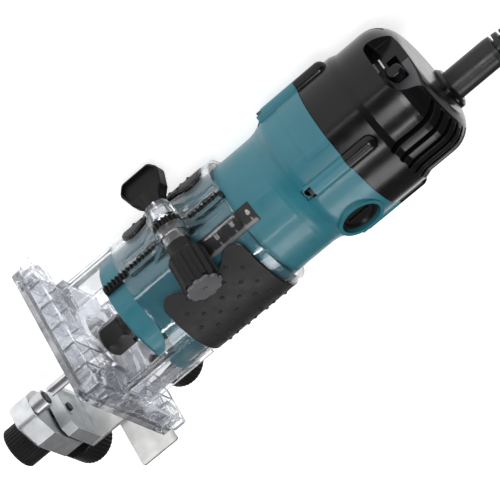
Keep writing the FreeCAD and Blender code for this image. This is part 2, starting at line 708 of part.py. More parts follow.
def fan():
    hub = tube(5.0, 9.0, 56, 68)
    disc = tube(5.0, 27.0, 56, 57.6)
    blades = [hub, disc]
    for i in range(11):
        blade = turned(box(8, 26.6, -0.8, 0.8, 57.5, 67), 14, UP, at(8, 0, 0))
        blades.append(turned(blade, 360 * i / 11))
    return fuse(blades)


def collet_nut():
    """Hexagon nut with a round skirt and rim above and below the flats."""
    flats = hexagon(NUT_AF, at(0, 0, 12.6), at(0, 0, 25.4), 11)
    corner_r = NUT_AF / math.sqrt(3)
    flats = flats.common(lathe([(0, 12.6), (corner_r - 1.2, 12.6), (corner_r, 14.4), (corner_r, 24.2),
                                (corner_r - 0.8, 25.4), (0, 25.4)]))
    lower = cone(7.4, 8.4, at(0, 0, 11.4), at(0, 0, 12.7))
    upper = post(8.3, 25.3, 30.0)
    bore = [post(5.62, 16.5, 31), cone(4.2, 5.62, at(0, 0, 12.6), at(0, 0, 16.6)), post(4.2, 11, 13)]
    return fuse([flats, lower, upper]).cut(bore)


def collet():
    sleeve_shape = fuse([cone(4.1, 5.5, at(0, 0, 12.6), at(0, 0, 16.6)), post(5.5, 16.5, 27.4)])
    slits = [box(-0.4, 0.4, -6, 6, 11, 24), box(-6, 6, -0.4, 0.4, 11, 24)]
    return sleeve_shape.cut([post(BIT_R, 11, 28)] + slits)


def router_bit():
    """Straight bit: round shank, and a cutting length with two flutes."""
    shank = post(BIT_R, -8.0, 27.0)
    cutter = post(BIT_R, BIT_TIP, -8.0)
    flutes = []
    for side in (-1, 1):
        flute = box(0.25, 5, -5, -0.55, BIT_TIP - 1, -9.5)
        flutes.append(flute if side > 0 else turned(flute, 180))
    return fuse([shank, cutter]).cut(flutes)


# ---- trimmer guide ----
def guide_arm():
    """Steel strip with the height slot, closed round at its upper end."""
    strip = block(-ARM_HALF, ARM_HALF, ARM_Y, ARM_Y + ARM_T, BRACKET_Z0, 46, 5.0, ALONG_Y)
    foot = box(-ARM_HALF, ARM_HALF, ARM_Y, ARM_Y + ARM_T, BRACKET_Z0, BRACKET_Z0 + 10)
    slot = block(-3.4, 3.4, ARM_Y - 1, ARM_Y + ARM_T + 1, CLAMP_A_Z - 7.6, CLAMP_A_Z + 18.5, 3.39, ALONG_Y)
    places = rivet_places() + bracket_places()
    holes = [rod(1.6, at(x, ARM_Y - 1, z), at(x, ARM_Y + 5, z)) for x, z in places]
    return fuse([strip, foot]).cut([slot] + holes)


def rivet_places():
    return [(-9.5, -6.0), (9.5, -6.0), (-9.5, -16.5), (9.5, -16.5)]


def bracket_places():
    return [(-10.0, -37.7), (10.0, -37.7)]


def fence_plate():
    """Wide steel fence riveted behind the strip."""
    half = SOLE_SIDE / 2
    y0 = ARM_Y + ARM_T
    plate = block(-half, half, y0, y0 + 1.6, -22.0, 2.7, 1.5, ALONG_Y)
    return plate.cut([rod(1.6, at(x, y0 - 1, z), at(x, y0 + 5, z)) for x, z in rivet_places()])


def guide_rivets():
    rivets = []
    back = ARM_Y + ARM_T + 1.6
    for x, z in rivet_places():
        head = cone(3.0, 2.0, at(x, back, z), at(x, back + 1.2, z))
        front = cone(2.0, 3.0, at(x, ARM_Y - 0.8, z), at(x, ARM_Y, z))
        rivets.append(fuse([head, front, rod(1.6, at(x, ARM_Y - 0.1, z), at(x, back + 0.1, z))]))
    return Part.makeCompound(rivets)


def guide_bracket():
    """Cast block that carries the roller holder, with a lug for the adjusting screw."""
    outline = [(-15.5, ARM_Y), (-15.5, 21.5), (-11.5, 17.5), (11.5, 17.5), (15.5, 21.5), (15.5, ARM_Y)]
    cast = slab([at(x, y, BRACKET_Z0) for x, y in outline], at(0, 0, BRACKET_Z1 - BRACKET_Z0))
    inner = [(-12.5, 40.5), (-12.5, 22.8), (-10.2, 20.4), (10.2, 20.4), (12.5, 22.8), (12.5, 40.5)]
    recess = slab([at(x, y, BRACKET_Z1 - 1.8) for x, y in inner], at(0, 0, 3))
    lug = block(-11, 11, 40.6, ARM_Y, -56.0, BRACKET_Z0 + 1, 3.0, ALONG_Y)
    hub = post(4.2, BRACKET_Z1 - 2.5, BRACKET_Z1 - 0.6, 0, CLAMP_B_Y)
    cuts = [post(2.55, -60, -30, 0, CLAMP_B_Y), rod(2.56, at(0, 38, ADJUST_Z), at(0, 50, ADJUST_Z))]
    cuts += [rod(1.25, at(x, 36, z), at(x, 46, z)) for x, z in bracket_places()]
    return fuse([fuse([cast.cut(recess), lug]), hub]).cut(cuts)


def bracket_screws():
    screws = []
    for x, z in bracket_places():
        back = ARM_Y + ARM_T
        head = rod(2.8, at(x, back, z), at(x, back + 2, z))
        screws.append(fuse([head, rod(1.24, at(x, 36.5, z), at(x, back + 0.1, z))]))
    return Part.makeCompound(screws)


def roller_holder():
    """Sliding block with a nose for the roller, a slot for its clamp and a tapped back end."""
    z0, z1 = HOLDER_Z0, HOLDER_Z1
    outline = [at(15, 37, z0), at(15, 10, z0), at(6.2, -2.4, z0), at(-6.2, -2.4, z0), at(-13, 7.5, z0),
               at(-15, 12, z0), at(-15, 37, z0)]
    holder = slab(outline, at(0, 0, z1 - z0))
    holder = round_edges(holder, 4.0, lambda e: runs_along(UP)(e) and e.BoundBox.YMax < 0)
    holder = round_edges(holder, 1.2, flat_at(z0))
    slot = block(-3.3, 3.3, CLAMP_B_Y - 7.0, CLAMP_B_Y + 6.8, z0 - 1, z1 + 1, 3.29)
    tapped = rod(2.54, at(0, 28, ADJUST_Z), at(0, 40, ADJUST_Z))
    return holder.cut([slot, tapped, post(1.5, z0 + 1.5, z1 + 1, 0, ROLLER_Y)])


def roller_pin():
    return fuse([post(1.5, HOLDER_Z0 + 1.6, -34.6, 0, ROLLER_Y), post(2.6, -34.7, -33.9, 0, ROLLER_Y)])


def guide_roller():
    return tube(ROLLER_SEAL_R, ROLLER_R, HOLDER_Z1 + 0.3, BRACKET_Z1 - 0.1, 0, ROLLER_Y)


def roller_seal():
    """Sealed bearing that fills the roller between its pin and its rim."""
    return tube(1.56, ROLLER_SEAL_R, HOLDER_Z1 + 0.5, BRACKET_Z1 - 0.8, 0, ROLLER_Y)


def clamp_screw_a():
    head = rod(4.5, at(0, 49.5, CLAMP_A_Z), at(0, 53, CLAMP_A_Z))
    return fuse([head, rod(2.5, at(0, 35.5, CLAMP_A_Z), at(0, 50, CLAMP_A_Z))])


def clamp_knob_a():
    hub = rod(7.0, at(0, ARM_Y + ARM_T + 0.1, CLAMP_A_Z), at(0, 51, CLAMP_A_Z))
    grip_part = knurled_knob(GUIDE_KNOB_R, at(0, 49.0, CLAMP_A_Z), at(0, 66.0, CLAMP_A_Z), 36, 0.9)
    room = [rod(2.5, at(0, 40, CLAMP_A_Z), at(0, 50, CLAMP_A_Z)),
            rod(4.5, at(0, 49.5, CLAMP_A_Z), at(0, 53, CLAMP_A_Z))]
    return fuse([hub, grip_part]).cut(room)


def adjusting_screw():
    shank = rod(2.5, at(0, 28.2, ADJUST_Z), at(0, 52, ADJUST_Z))
    collar = rod(4.0, at(0, 39.6, ADJUST_Z), at(0, 40.5, ADJUST_Z))
    return fuse([shank, collar])


def adjusting_knob():
    hub = rod(6.0, at(0, ARM_Y + 0.2, ADJUST_Z), at(0, 51, ADJUST_Z))
    grip_part = knurled_knob(GUIDE_KNOB_R, at(0, 49.0, ADJUST_Z), at(0, ADJUST_KNOB_Y1, ADJUST_Z), 36, 0.9)
    return fuse([hub, grip_part]).cut(rod(2.5, at(0, 40, ADJUST_Z), at(0, 52, ADJUST_Z)))


def clamp_screw_b():
    return fuse([post(2.5, -62, BRACKET_Z1 + 0.8, 0, CLAMP_B_Y), post(4.0, -64, -60, 0, CLAMP_B_Y)])


def clamp_knob_b():
    knob = knurled_knob(12.2, at(0, CLAMP_B_Y, CLAMP_B_Z0), at(0, CLAMP_B_Y, HOLDER_Z0 - 0.7), 36, 0.85)
    hub = post(6.5, HOLDER_Z0 - 2, HOLDER_Z0 - 0.2, 0, CLAMP_B_Y)
    return fuse([knob, hub]).cut([post(2.5, -61, -50, 0, CLAMP_B_Y), post(4.0, -64, -60, 0, CLAMP_B_Y)])


# ---- cord end ----
def cord_guard():
    """Straight, then tapering rubber guard with a ringed tail and a flange inside the cover."""
    flange = post(GUARD_R + 1.6, 223.0, 229.4, 0, GUARD_Y)
    body = post(GUARD_R, 229.0, GUARD_TAPER_Z, 0, GUARD_Y)
    tail = cone(GUARD_R, 5.0, at(0, GUARD_Y, GUARD_TAPER_Z), at(0, GUARD_Y, GUARD_END))
    rings = []
    for i in range(5):
        z = GUARD_TAPER_Z + 3 + 4.6 * i
        rings.append(tube(4.6, 9.0, z, z + 1.6, 0, GUARD_Y))
    return fuse([flange, body, tail]).cut(rings)


def cord_clamp():
    """Strap that holds the cord inside the cover."""
    strap = block(-13, 13, GUARD_Y - 5, GUARD_Y + 5, 202.5, 206.5, 2.0)
    return strap.cut([post(1.35, 200, 208, -9.5, GUARD_Y), post(1.35, 200, 208, 9.5, GUARD_Y)])


def to_row(point):
    """Upright coordinates to the row frame."""
    return at(ROW_X - point.z, point.y + ROW_Y, point.x + ROW_Z)


def cord_route():
    """Corners of the free cord in the row frame: out of the guard, down, and onto the coil."""
    start = to_row(at(0, GUARD_Y, GUARD_END))
    turn_x, turn_y = COIL_AT
    return [start,
            at(start.x - 24, start.y, start.z),
            at(start.x - 49, start.y - 2.5, start.z - 15),
            at(start.x - 72, start.y - 7.6, 7.5),
            at(turn_x + 8, turn_y - COIL_TURN_R, CORD_LIFT + 0.3),
            at(turn_x - 12, turn_y - COIL_TURN_R + 0.6, CORD_LIFT)]


def tail_route():
    """Corners of the cord's last stretch, from the coil's top turn to the plug's neck."""
    turn_x, turn_y = COIL_AT
    plug = at(*PLUG_START)
    side = turn_y + COIL_TURN_R
    return [at(turn_x, side, COIL_EXIT_Z),
            at(turn_x + 20, side, COIL_EXIT_Z - 0.4),
            at(turn_x + 40, side + 1.0, COIL_EXIT_Z - 3.0),
            plug]


def smooth_tube(points, r):
    """Tube of straight runs and tangent arcs along the corners of a route."""
    edges = []
    here = points[0]
    length = 0.0
    for before, corner, after in zip(points, points[1:], points[2:]):
        way_in = corner.sub(before)
        way_out = after.sub(corner)
        half_turn = way_in.getAngle(way_out) / 2
        run = min(way_in.Length, way_out.Length)
        bend = 0.45 * run / math.tan(half_turn)
        back = bend * math.tan(half_turn)
        way_in.normalize()
        way_out.normalize()
        a = corner.sub(FreeCAD.Vector(way_in).multiply(back))
        b = corner.add(FreeCAD.Vector(way_out).multiply(back))
        inward = way_out.sub(way_in)
        inward.normalize()
        depth = bend / math.cos(half_turn) - bend
        middle = corner.add(FreeCAD.Vector(inward).multiply(depth))
        edges.append(Part.LineSegment(here, a).toShape())
        edges.append(Part.Arc(a, middle, b).toShape())
        length += a.sub(here).Length + bend * 2 * half_turn
        print("cord bend", round(math.degrees(2 * half_turn), 1), "deg, radius", round(bend, 1))
        here = b
    edges.append(Part.LineSegment(here, points[-1]).toShape())
    length += points[-1].sub(here).Length
    path = Part.Wire(edges)
    way = points[1].sub(points[0])
    ring = Part.Wire(Part.makeCircle(r, points[0], way))
    solid = path.makePipeShell([ring], True, True)
    print("cord tube volume", round(solid.Volume), "section x length", round(math.pi * r * r * length),
          "length", round(length, 1))
    return solid


def cord_coil(cut_by):
    """Outer shape of the wound cord, with rounded rims and room for what runs through it."""
    x, y = COIL_AT
    ring = tube(COIL_R_IN, COIL_R_OUT, 0, COIL_HEIGHT, x, y)
    ring = round_edges(ring, 3.2, lambda e: isinstance(e.Curve, Part.Circle))
    return ring.cut(cut_by)


def cord_tie():
    """Flat strap closed around the coil's section on its far side."""
    x, y = COIL_AT
    x0, x1 = x - COIL_R_OUT, x - COIL_R_IN
    outer = block(x0 - 1.2, x1 + 1.2, y - 4, y + 4, 0, COIL_HEIGHT + 1.2, 3.4, ALONG_Y)
    inner = block(x0, x1, y - 5, y + 5, 1.2, COIL_HEIGHT, 2.4, ALONG_Y)
    return outer.cut(inner)


def plug_body():
    """Two-pin plug lying beside the coil: a tapering neck and a rounded body."""
    x, y, z = PLUG_START
    neck = cone(4.8, 7.4, at(x, y, z), at(x + PLUG_NECK, y, z))
    body = block(x + PLUG_NECK - 2, x + PLUG_NECK + PLUG_BODY, y - 18, y + 18, 0.0, 2 * z, 8.0, ALONG_X)
    corners = [e for e in body.Edges if e.BoundBox.XMax < x + PLUG_NECK]
    return fuse([neck, body.makeFillet(6.0, corners)])


def plug_pins():
    x, y, z = PLUG_START
    face = x + PLUG_NECK + PLUG_BODY
    pins = []
    for side in (-1, 1):
        pin = rod(2.4, at(face, y + side * 9.5, z), at(face + 19, y + side * 9.5, z))
        tip = [e for e in pin.Edges if isinstance(e.Curve, Part.Circle) and e.BoundBox.XMin > face + 18]
        pins.append(pin.makeChamfer(1.0, tip))
    return Part.makeCompound(pins)


# ---- all pieces ----
def upright_pieces():
    right_grip = grip()
    return {
        "base_body": base_body(), "sole_plate": sole_plate(), "sole_screws": sole_screws(),
        "grip_right": right_grip, "grip_left": mirrored(right_grip),
        "wing_paddle": wing_paddle(), "clamp_bolt": clamp_bolt(),
        "pinion": gear_pinion(), "depth_knob": depth_knob(), "knob_cap": knob_cap(),
        "clamp_nut": clamp_nut(),
        "motor_housing": motor_housing(), "rack": rack(), "scale_plate": scale_plate(),
        "rear_cover": rear_cover(), "cover_screws": cover_screws(),
        "switch_slider": switch_slider(), "switch_body": switch_body(),
        "brush_holders": brush_holders(), "carbon_brushes": carbon_brushes(),
        "brush_springs": brush_springs(), "brush_caps": brush_caps(), "end_bracket": end_bracket(),
        "front_bearing": bearing(14.0, SPINDLE_R, 40.2, 48.2),
        "rear_bearing": bearing(11.0, 4.0, 175.6, 182.6),
        "bearing_retainer": bearing_retainer(), "inner_screws": inner_screws(),
        "stator_core": stator_core(), "stator_coils": stator_coils(),
        "spindle_shaft": spindle_shaft(), "armature_core": armature_core(),
        "armature_windings": armature_windings(), "commutator": commutator(), "fan": fan(),
        "collet_nut": collet_nut(), "collet": collet(), "router_bit": router_bit(),
        "guide_arm": guide_arm(), "fence_plate": fence_plate(), "guide_rivets": guide_rivets(),
        "guide_bracket": guide_bracket(), "bracket_screws": bracket_screws(),
        "roller_holder": roller_holder(), "roller_pin": roller_pin(),
        "guide_roller": guide_roller(), "roller_seal": roller_seal(),
        "clamp_screw_a": clamp_screw_a(), "clamp_knob_a": clamp_knob_a(),
        "adjusting_screw": adjusting_screw(), "adjusting_knob": adjusting_knob(),
        "clamp_screw_b": clamp_screw_b(), "clamp_knob_b": clamp_knob_b(),
        "cord_guard": cord_guard(), "cord_clamp": cord_clamp(),
    }


def cord_pieces():
    lead = smooth_tube(cord_route(), CORD_R)
    tail = smooth_tube(tail_route(), CORD_R)
    tie = cord_tie()
    return {"cord_lead": lead, "cord_tail": tail, "cord_tie": tie,
            "cord_coil": cord_coil([lead, tail, tie]), "plug_body": plug_body(), "plug_pins": plug_pins()}


def write_parts():
    os.makedirs("parts", exist_ok=True)
    pieces = cord_pieces()
    for name, shape in upright_pieces().items():
        laid = turned(shape, -90, ALONG_Y)
        laid.translate(at(ROW_X, ROW_Y, ROW_Z))
        pieces[name] = laid
    for name, shape in pieces.items():
        if not shape.isValid():
            print("not valid:", name)
        shape.exportStep(os.path.join("parts", name + ".step"))
    print(len(pieces), "nodes")


write_parts()
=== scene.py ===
import json
import math

import bpy
from mathutils import Matrix, Vector


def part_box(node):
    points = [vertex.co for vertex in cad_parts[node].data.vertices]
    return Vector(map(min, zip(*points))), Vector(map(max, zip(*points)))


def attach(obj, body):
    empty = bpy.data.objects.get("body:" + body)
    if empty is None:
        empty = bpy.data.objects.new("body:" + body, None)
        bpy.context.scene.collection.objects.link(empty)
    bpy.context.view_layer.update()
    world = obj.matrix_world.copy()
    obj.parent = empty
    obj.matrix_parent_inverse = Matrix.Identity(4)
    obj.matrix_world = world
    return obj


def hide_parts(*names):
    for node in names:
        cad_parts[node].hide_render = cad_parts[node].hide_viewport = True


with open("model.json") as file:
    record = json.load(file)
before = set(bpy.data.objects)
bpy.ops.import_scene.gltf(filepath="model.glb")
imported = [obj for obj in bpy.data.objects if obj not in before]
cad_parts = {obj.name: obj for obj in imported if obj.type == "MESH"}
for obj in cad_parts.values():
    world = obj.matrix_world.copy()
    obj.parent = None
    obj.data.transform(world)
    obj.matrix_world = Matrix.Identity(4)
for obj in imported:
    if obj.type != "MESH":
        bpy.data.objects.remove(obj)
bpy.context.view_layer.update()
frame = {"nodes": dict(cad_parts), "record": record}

# Looks for a trim router that lies on its left side. Row frame, metres: the spindle runs along X
# with the bit towards +X, the tool's front faces -Y and its right side faces up.
MM = 0.001
NODES = frame["nodes"]
shaft_low, shaft_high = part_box("spindle_shaft")
SOLE_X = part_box("sole_plate")[1][0]
AXIS_Y = (shaft_low[1] + shaft_high[1]) / 2
AXIS_Z = (shaft_low[2] + shaft_high[2]) / 2


def up(x, y, z):
    """A point given in millimetres in the tool's upright frame: spindle along z, sole face at 0."""
    return Vector((SOLE_X - z * MM, AXIS_Y + y * MM, AXIS_Z + x * MM))


def up_way(x, y, z):
    """A unit direction given in the tool's upright frame."""
    return Vector((-z, y, x)).normalized()


# ---- camera, lights and floor ----
# The eye and the point looked at are in the upright frame, in millimetres.
EYE = (638.0, -1029.1, 386.0)
LOOKED_AT = (8.57, 5.32, 102.78)
LENS = 173.46
ROLL = math.radians(50.17)
FLOOR_HALF = 4.0
FLOOR_GLOW = 0.78
WORLD_GLOW = 0.12
RAY_BOUNCES = 24
CLEAR_LAYERS = 32


def add_camera():
    """Long lens from the tool's front right, rolled so that the cord end points up to the right."""
    eye, target = up(*EYE), up(*LOOKED_AT)
    forward = (target - eye).normalized()
    level = forward.cross(up_way(0, 0, 1)).normalized()
    rise = level.cross(forward)
    top = rise * math.cos(ROLL) - level * math.sin(ROLL)
    side = forward.cross(top)
    data = bpy.data.cameras.new("camera")
    data.lens = LENS
    data.sensor_width = 36.0
    data.clip_end = 20.0
    camera = bpy.data.objects.new("camera", data)
    camera.matrix_world = Matrix((side, top, -forward)).transposed().to_4x4()
    camera.location = eye
    bpy.context.scene.collection.objects.link(camera)
    bpy.context.scene.camera = camera


def add_light(name, place, target, width, height, watts):
    """Rectangular soft light at a place, turned to face the target."""
    data = bpy.data.lights.new(name, "AREA")
    data.shape = "RECTANGLE"
    data.size = width
    data.size_y = height
    data.energy = watts
    light = bpy.data.objects.new(name, data)
    light.location = place
    way = Vector(target) - Vector(place)
    light.rotation_euler = way.to_track_quat("-Z", "Y").to_euler()
    bpy.context.scene.collection.objects.link(light)


def add_studio():
    """Soft light from the front and above, with two narrow strips for highlights along ridges."""
    middle = (-0.02, 0.0, 0.04)
    add_light("key", (-0.10, -0.80, 0.66), middle, 0.3, 0.3, 4.4)
    add_light("overhead", (0.15, 0.25, 1.1), middle, 0.7, 0.4, 6.0)
    add_light("ridge_strip", (0.10, -0.35, 0.95), middle, 0.5, 0.05, 2.0)
    add_light("front_strip", (-0.05, -1.0, 0.14), middle, 0.9, 0.04, 0.9)
    world = bpy.data.worlds.new("studio")
    world.use_nodes = True
    back = world.node_tree.nodes["Background"]
    back.inputs["Color"].default_value = (1.0, 1.0, 1.0, 1.0)
    back.inputs["Strength"].default_value = WORLD_GLOW
    scene = bpy.context.scene
    scene.world = world
    scene.view_settings.view_transform = "Standard"
    scene.cycles.max_bounces = RAY_BOUNCES
    scene.cycles.transmission_bounces = RAY_BOUNCES
    scene.cycles.transparent_max_bounces = CLEAR_LAYERS


def add_floor(material):
    half = FLOOR_HALF
    mesh = bpy.data.meshes.new("floor")
    corners = [(-half, -half, 0), (half, -half, 0), (half, half, 0), (-half, half, 0)]
    mesh.from_pydata(corners, [], [(0, 1, 2, 3)])
    floor = bpy.data.objects.new("floor", mesh)
    mesh.materials.append(material)
    bpy.context.scene.collection.objects.link(floor)


# ---- materials ----
# Sizes and depths of patterns are in metres. Noise values lie mostly between these two.
NOISE_LOW, NOISE_HIGH = 0.3, 0.7
BEVEL_SAMPLES = 6
PLASTIC_IOR = 1.45


def shader(name):
    """A new material with its node tree and its Principled shader."""
    material = bpy.data.materials.new(name)
    material.use_nodes = True
    return material, material.node_tree, material.node_tree.nodes["Principled BSDF"]


def noise(tree, size, detail=3.0, stretch=(1, 1, 1)):
    """Noise whose features are about size metres across, in the object's own space."""
    place = tree.nodes.new("ShaderNodeTexCoord")
    spread = tree.nodes.new("ShaderNodeMapping")
    spread.inputs["Scale"].default_value = [1 / (size * s) for s in stretch]
    grain = tree.nodes.new("ShaderNodeTexNoise")
    grain.inputs["Scale"].default_value = 1.0
    grain.inputs["Detail"].default_value = detail
    tree.links.new(place.outputs["Object"], spread.inputs["Vector"])
    tree.links.new(spread.outputs["Vector"], grain.inputs["Vector"])
    return grain.outputs["Fac"]


def between(tree, value, low, high):
    """Maps noise to the range low to high."""
    span = tree.nodes.new("ShaderNodeMapRange")
    span.inputs["From Min"].default_value = NOISE_LOW
    span.inputs["From Max"].default_value = NOISE_HIGH
    span.inputs["To Min"].default_value = low
    span.inputs["To Max"].default_value = high
    tree.links.new(value, span.inputs["Value"])
    return span.outputs["Result"]


def tinted(tree, value, dark, light):
    """Blends two colours by noise."""
    ramp = tree.nodes.new("ShaderNodeValToRGB")
    ramp.color_ramp.elements[0].position = NOISE_LOW
    ramp.color_ramp.elements[0].color = (*dark, 1)
    ramp.color_ramp.elements[1].position = NOISE_HIGH
    ramp.color_ramp.elements[1].color = (*light, 1)
    tree.links.new(value, ramp.inputs["Fac"])
    return ramp.outputs["Color"]


def bumped(tree, bsdf, height, depth, edge=0.0):
    """Raises the surface by a height pattern, depth in metres, over edges softened to a radius."""
    bump = tree.nodes.new("ShaderNodeBump")
    if edge:
        soft = tree.nodes.new("ShaderNodeBevel")
        soft.samples = BEVEL_SAMPLES
        soft.inputs["Radius"].default_value = edge
        tree.links.new(soft.outputs["Normal"], bump.inputs["Normal"])
    bump.inputs["Strength"].default_value = 1.0
    bump.inputs["Distance"].default_value = depth
    tree.links.new(height, bump.inputs["Height"])
    tree.links.new(bump.outputs["Normal"], bsdf.inputs["Normal"])


def moulded(name, colour, rough, spread=0.12, grain=0.0009, depth=0.00002, coat=0.0, specular=0.5,
            edge=0.0):
    """Moulded plastic or rubber: faint mottling, uneven sheen, fine surface grain and soft edges."""
    material, tree, bsdf = shader(name)
    dark = [c * (1 - spread) for c in colour]
    light = [min(1, c * (1 + spread)) for c in colour]
    tree.links.new(tinted(tree, noise(tree, 0.012), dark, light), bsdf.inputs["Base Color"])
    sheen = between(tree, noise(tree, 0.006), rough * 0.85, min(1, rough * 1.15))
    tree.links.new(sheen, bsdf.inputs["Roughness"])
    bsdf.inputs["Coat Weight"].default_value = coat
    bsdf.inputs["Coat Roughness"].default_value = 0.12
    bsdf.inputs["Specular IOR Level"].default_value = specular
    bumped(tree, bsdf, noise(tree, grain, 2.0), depth, edge)
    return material


def metal(name, colour, rough, grain=0.0012, stretch=(1, 1, 1), depth=0.000008, metallic=1.0, edge=0.0):
    """Metal with a directional or cast grain and soft edges."""
    material, tree, bsdf = shader(name)
    bsdf.inputs["Metallic"].default_value = metallic
    dark = [c * 0.86 for c in colour]
    light = [min(1, c * 1.1) for c in colour]
    pattern = noise(tree, grain, 4.0, stretch)
    tree.links.new(tinted(tree, noise(tree, 0.008), dark, light), bsdf.inputs["Base Color"])
    tree.links.new(between(tree, pattern, rough * 0.8, min(1, rough * 1.25)), bsdf.inputs["Roughness"])
    bumped(tree, bsdf, pattern, depth, edge)
    return material


def clear(name, colour, rough, alpha):
    """Clear moulded polycarbonate with slight ripples in its faces."""
    material, tree, bsdf = shader(name)
    bsdf.inputs["Transmission Weight"].default_value = 1.0
    bsdf.inputs["IOR"].default_value = PLASTIC_IOR
    bsdf.inputs["Alpha"].default_value = alpha
    light = [min(1, c * 1.03) for c in colour]
    tree.links.new(tinted(tree, noise(tree, 0.02), colour, light), bsdf.inputs["Base Color"])
    sheen = between(tree, noise(tree, 0.004), rough * 0.6, rough * 1.4)
    tree.links.new(sheen, bsdf.inputs["Roughness"])
    bumped(tree, bsdf, noise(tree, 0.006, 2.0), 0.00004)
    return material


def floor_material():
    """Pale studio floor that glows a little, so shadows on it stay light."""
    material = moulded("floor", (0.7, 0.7, 0.7), 0.6, 0.01, 0.004, 0.00001)
    bsdf = material.node_tree.nodes["Principled BSDF"]
    bsdf.inputs["Emission Color"].default_value = (1.0, 1.0, 1.0, 1.0)
    bsdf.inputs["Emission Strength"].default_value = FLOOR_GLOW
    return material


CLEAR = dict(colour=(0.915, 0.925, 0.955), rough=0.010, alpha=0.86)
MOULDED = {
    "teal_plastic": dict(colour=(0.018, 0.128, 0.164), rough=0.38, spread=0.06, grain=0.0007,
                         depth=0.000012, coat=0.1, specular=0.35, edge=0.0003),
    "black_gloss_plastic": dict(colour=(0.0035, 0.0032, 0.0032), rough=0.21, spread=0.2, grain=0.0008,
                                depth=0.000008, coat=0.05, specular=0.2, edge=0.0005),
    "black_plastic": dict(colour=(0.006, 0.0055, 0.0055), rough=0.40, spread=0.2, specular=0.16,
                          edge=0.0003),
    "grip_rubber": dict(colour=(0.012, 0.011, 0.0115), rough=0.55, spread=0.2, grain=0.0006,
                        depth=0.00003, specular=0.25),
    "cord_rubber": dict(colour=(0.008, 0.008, 0.0085), rough=0.36, spread=0.2, grain=0.0008,
                        specular=0.3),
    "grey_plastic": dict(colour=(0.085, 0.083, 0.09), rough=0.4, spread=0.1, grain=0.0008),
    "pocket_grey": dict(colour=(0.05, 0.05, 0.055), rough=0.4, spread=0.1, grain=0.0008),
    "white_print": dict(colour=(0.72, 0.73, 0.72), rough=0.5, spread=0.06, grain=0.0008,
                        depth=0.000005),
    "scale_print": dict(colour=(0.010, 0.009, 0.009), rough=0.4, spread=0.15, grain=0.0008,
                        depth=0.00001, specular=0.35),
    "carbon": dict(colour=(0.03, 0.03, 0.032), rough=0.6),
    "inner_plastic": dict(colour=(0.22, 0.21, 0.19), rough=0.5),
}
METALS = {
    "steel": dict(colour=(0.52, 0.52, 0.54), rough=0.3, stretch=(12, 1, 1)),
    "zinc_steel": dict(colour=(0.66, 0.66, 0.65), rough=0.40, grain=0.002, edge=0.0004),
    "black_steel": dict(colour=(0.010, 0.009, 0.009), rough=0.34, grain=0.001, metallic=0.5,
                        edge=0.0004),
    "cast_alloy": dict(colour=(0.57, 0.585, 0.60), rough=0.38, grain=0.0008, depth=0.00005,
                       edge=0.0005),
    "brass": dict(colour=(0.72, 0.53, 0.24), rough=0.3),
    "copper": dict(colour=(0.62, 0.27, 0.13), rough=0.4, grain=0.0006, depth=0.00006),
    "lamination": dict(colour=(0.32, 0.32, 0.33), rough=0.42, grain=0.0006, stretch=(1, 30, 30),
                       depth=0.00003),
}


def make_materials():
    """The material of every slot, and those of the marks, by name."""
    materials = {"clear_plastic": clear("clear_plastic", **CLEAR)}
    for name, look in MOULDED.items():
        materials[name] = moulded(name, **look)
    for name, look in METALS.items():
        materials[name] = metal(name, **look)
    return materials


def dress_nodes(materials):
    """Gives every CAD node the detailed material of its slot."""
    for entry in frame["record"]["subparts"]:
        mesh = NODES[entry["node"]].data
        mesh.materials.clear()
        mesh.materials.append(materials[entry["material_slot"]])


# ---- helpers for pieces ----
def place(name, mesh, material, body, slot):
    """A new piece that rides on a body and takes the material given; its slot argument is not used."""
    piece = bpy.data.objects.new(name, mesh)
    mesh.materials.append(material)
    bpy.context.scene.collection.objects.link(piece)
    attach(piece, body)
    return piece


# ---- cord ----
# Metres in the row frame.
CORD_R = 3.5 * MM
COIL_X, COIL_Y = -0.290, 0.055
COIL_RADII = (0.049, 0.042, 0.035)
COIL_LAYERS = (0.0036, 0.0106, 0.0176)
COIL_STEPS = 16
TAIL_TURNS = 0.5
PLUG_ENTRY = (-0.230, 0.1056, 0.013)


def coil_points():
    """Turns of the coil: in along the floor, out on the next layer, then half a turn on top."""
    pitch = COIL_RADII[0] - COIL_RADII[1]
    turns = len(COIL_RADII)
    total = int((2 * turns + TAIL_TURNS) * COIL_STEPS)
    points = []
    for i in range(1, total):
        t = i / COIL_STEPS
        layer = min(int(t // turns), 2)
        within = t - layer * turns
        if layer == 0:
            radius = COIL_RADII[0] - pitch * min(within, turns - 1)
        elif layer == 1:
            radius = COIL_RADII[2] + pitch * min(within, turns - 1)
        else:
            radius = COIL_RADII[0]
        height = COIL_LAYERS[layer]
        if layer < 2 and within > turns - 1:
            height += (COIL_LAYERS[layer + 1] - height) * (within - turns + 1)
        angle = -math.pi / 2 - 2 * math.pi * t
        points.append((COIL_X + radius * math.cos(angle), COIL_Y + radius * math.sin(angle), height))
    return points


def cord_points():
    """The cord from the guard's end to the plug, in metres in the row frame."""
    guard_low, guard_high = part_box("cord_guard")
    x, y, z = guard_low[0], (guard_low[1] + guard_high[1]) / 2, AXIS_Z
    near, far = COIL_Y - COIL_RADII[0], COIL_Y + COIL_RADII[0]
    lead = [(x, y, z), (x - 0.024, y, z), (x - 0.049, y - 0.0025, z - 0.015),
            (x - 0.072, y - 0.0076, 0.0075), (COIL_X + 0.008, near, 0.0039)]
    tail = [(COIL_X, far, 0.0177), (COIL_X + 0.020, far, 0.0173),
            (COIL_X + 0.040, far + 0.001, 0.0147), PLUG_ENTRY]
    return lead + coil_points() + tail


